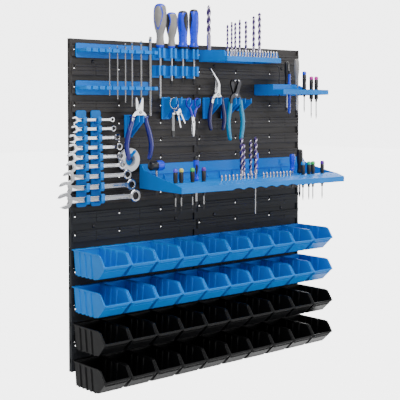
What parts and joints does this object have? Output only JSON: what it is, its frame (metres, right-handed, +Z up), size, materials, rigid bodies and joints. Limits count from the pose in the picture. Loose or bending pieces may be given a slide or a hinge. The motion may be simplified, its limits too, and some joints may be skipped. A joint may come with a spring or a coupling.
{
  "type": "pegboard tool wall",
  "caption": "Louvred plastic wall panels carrying hook-on rails, clips, brackets, shelves, a tray, stacking bins and the hand tools they hold.",
  "frame": {"origin": "middle of the wall panels' back plane, which lies on the building wall", "axes": "+X to the right along the wall seen from the front, +Y into the building wall, +Z up"},
  "size_m": [0.8277, 0.176, 0.912],
  "materials": {
    "panel_upper": "moulded, satin, brownish dark grey",
    "panel_lower": "moulded, satin, blue-black",
    "bin_blue": "moulded, satin blue",
    "bin_black": "moulded, satin black",
    "holder_blue": "moulded, satin bright blue",
    "chrome": "polished",
    "tool_steel": "satin, oiled",
    "drill_steel": "ground, flutes darker",
    "grip_ultramarine": "dipped",
    "grip_navy": "dipped",
    "grip_cyan": "dipped",
    "loop_violet": "moulded",
    "strap_grey": "stitched",
    "tape_white": "wound film",
    "handle_grey": "ribbed",
    "handle_silver": "knurled",
    "handle_black": "ribbed",
    "handle_blue": "smooth"
  },
  "bodies": {
    "wall": {"bent_nose_pliers_right": "grip_navy", "bracket_bent_nose": "holder_blue", "bracket_cutters": "holder_blue", "bracket_keys": "holder_blue", "bracket_pliers": "holder_blue", "bracket_scissors": "holder_blue", "bracket_spare": "holder_blue", "combination_pliers_left": "grip_ultramarine", "drill_shelf": "holder_blue", "driver_clips": "holder_blue", "end_cutters_left": "grip_cyan", "hex_keys": "tool_steel", "hex_rail_lower": "holder_blue", "hex_rail_upper": "holder_blue", "panel_lower_left": "panel_lower", "panel_lower_right": "panel_lower", "panel_upper_left": "panel_upper", "panel_upper_right": "panel_upper", "scissors_left": "loop_violet", "scribers": "handle_blue", "shelf_bits": "tool_steel", "shelf_drills": "drill_steel", "shelf_drivers": "handle_black", "shelf_precision_drivers": "handle_silver", "small_shelf": "holder_blue", "tape_hook": "holder_blue", "tool_tray": "holder_blue", "tray_bits": "tool_steel", "tray_drills": "drill_steel", "tray_drivers": "handle_black", "tray_precision_drivers": "handle_silver", "tray_t_handle": "handle_black", "wrench_rack_left": "holder_blue", "wrench_rack_right": "holder_blue", "wrenches": "chrome"},
    "bin_blue_01": {"bin_blue_01": "bin_blue"},
    "bin_blue_02": {"bin_blue_02": "bin_blue"},
    "bin_blue_03": {"bin_blue_03": "bin_blue"},
    "bin_blue_04": {"bin_blue_04": "bin_blue"},
    "bin_blue_05": {"bin_blue_05": "bin_blue"},
    "bin_blue_06": {"bin_blue_06": "bin_blue"},
    "bin_blue_07": {"bin_blue_07": "bin_blue"},
    "bin_blue_08": {"bin_blue_08": "bin_blue"},
    "bin_blue_09": {"bin_blue_09": "bin_blue"},
    "bin_blue_10": {"bin_blue_10": "bin_blue"},
    "bins_blue_row_2": {"bins_blue_row_2": "bin_blue"},
    "bins_black_row_3": {"bins_black_row_3": "bin_black"},
    "bins_black_row_4": {"bins_black_row_4": "bin_black"},
    "screwdriver_1": {"screwdriver_1": "handle_grey"},
    "screwdriver_2": {"screwdriver_2": "handle_grey"},
    "screwdriver_3": {"screwdriver_3": "handle_grey"},
    "screwdriver_4": {"screwdriver_4": "handle_grey"},
    "combination_pliers_right": {"combination_pliers_right": "grip_ultramarine"},
    "bent_nose_pliers_left": {"bent_nose_pliers_left": "grip_navy"},
    "end_cutters_right": {"end_cutters_right": "grip_cyan"},
    "scissors_right": {"scissors_right": "loop_violet"},
    "key_ring": {"key_ring": "chrome", "fob_strap": "strap_grey", "ring_keys": "chrome"},
    "tape_roll": {"tape_roll": "tape_white"}
  },
  "joints": [
    {"name": "bin_blue_01_lift", "type": "slide", "parent": "wall", "child": "bin_blue_01", "axis": [0, 0, 1], "range_m": [0, 0.01]},
    {"name": "bin_blue_02_lift", "type": "slide", "parent": "wall", "child": "bin_blue_02", "axis": [0, 0, 1], "range_m": [0, 0.01]},
    {"name": "bin_blue_03_lift", "type": "slide", "parent": "wall", "child": "bin_blue_03", "axis": [0, 0, 1], "range_m": [0, 0.01]},
    {"name": "bin_blue_04_lift", "type": "slide", "parent": "wall", "child": "bin_blue_04", "axis": [0, 0, 1], "range_m": [0, 0.01]},
    {"name": "bin_blue_05_lift", "type": "slide", "parent": "wall", "child": "bin_blue_05", "axis": [0, 0, 1], "range_m": [0, 0.01]},
    {"name": "bin_blue_06_lift", "type": "slide", "parent": "wall", "child": "bin_blue_06", "axis": [0, 0, 1], "range_m": [0, 0.01]},
    {"name": "bin_blue_07_lift", "type": "slide", "parent": "wall", "child": "bin_blue_07", "axis": [0, 0, 1], "range_m": [0, 0.01]},
    {"name": "bin_blue_08_lift", "type": "slide", "parent": "wall", "child": "bin_blue_08", "axis": [0, 0, 1], "range_m": [0, 0.01]},
    {"name": "bin_blue_09_lift", "type": "slide", "parent": "wall", "child": "bin_blue_09", "axis": [0, 0, 1], "range_m": [0, 0.01]},
    {"name": "bin_blue_10_lift", "type": "slide", "parent": "wall", "child": "bin_blue_10", "axis": [0, 0, 1], "range_m": [0, 0.01]},
    {"name": "bins_blue_row_2_lift", "type": "slide", "parent": "wall", "child": "bins_blue_row_2", "axis": [0, 0, 1], "range_m": [0, 0.01]},
    {"name": "bins_black_row_3_lift", "type": "slide", "parent": "wall", "child": "bins_black_row_3", "axis": [0, 0, 1], "range_m": [0, 0.01]},
    {"name": "bins_black_row_4_lift", "type": "slide", "parent": "wall", "child": "bins_black_row_4", "axis": [0, 0, 1], "range_m": [0, 0.01]},
    {"name": "screwdriver_1_lift", "type": "slide", "parent": "wall", "child": "screwdriver_1", "axis": [0, 0, 1], "range_m": [0, 0.14]},
    {"name": "screwdriver_2_lift", "type": "slide", "parent": "wall", "child": "screwdriver_2", "axis": [0, 0, 1], "range_m": [0, 0.096]},
    {"name": "screwdriver_3_lift", "type": "slide", "parent": "wall", "child": "screwdriver_3", "axis": [0, 0, 1], "range_m": [0, 0.088]},
    {"name": "screwdriver_4_lift", "type": "slide", "parent": "wall", "child": "screwdriver_4", "axis": [0, 0, 1], "range_m": [0, 0.09]},
    {"name": "combination_pliers_pivot", "type": "hinge", "parent": "wall", "child": "combination_pliers_right", "pos_m": [-0.218, -0.056, 0.2182], "axis": [0, -1, 0], "range_deg": [0, 12]},
    {"name": "bent_nose_pliers_pivot", "type": "hinge", "parent": "wall", "child": "bent_nose_pliers_left", "pos_m": [0.033, -0.056, 0.262], "axis": [0, 1, 0], "range_deg": [0, 12]},
    {"name": "end_cutters_pivot", "type": "hinge", "parent": "wall", "child": "end_cutters_right", "pos_m": [0.098, -0.056, 0.262], "axis": [0, -1, 0], "range_deg": [0, 12]},
    {"name": "scissors_pivot", "type": "hinge", "parent": "wall", "child": "scissors_right", "pos_m": [-0.0485, -0.057, 0.193], "axis": [0, 1, 0], "range_deg": [0, 4]},
    {"name": "key_ring_swing", "type": "hinge", "parent": "wall", "child": "key_ring", "pos_m": [-0.1105, -0.058, 0.2397], "axis": [0, 1, 0], "range_deg": [-5, 25]},
    {"name": "tape_roll_spin", "type": "hinge", "parent": "wall", "child": "tape_roll", "pos_m": [-0.2235, -0.0232, 0.1027], "axis": [0, 1, 0], "continuous": true}
  ]
}
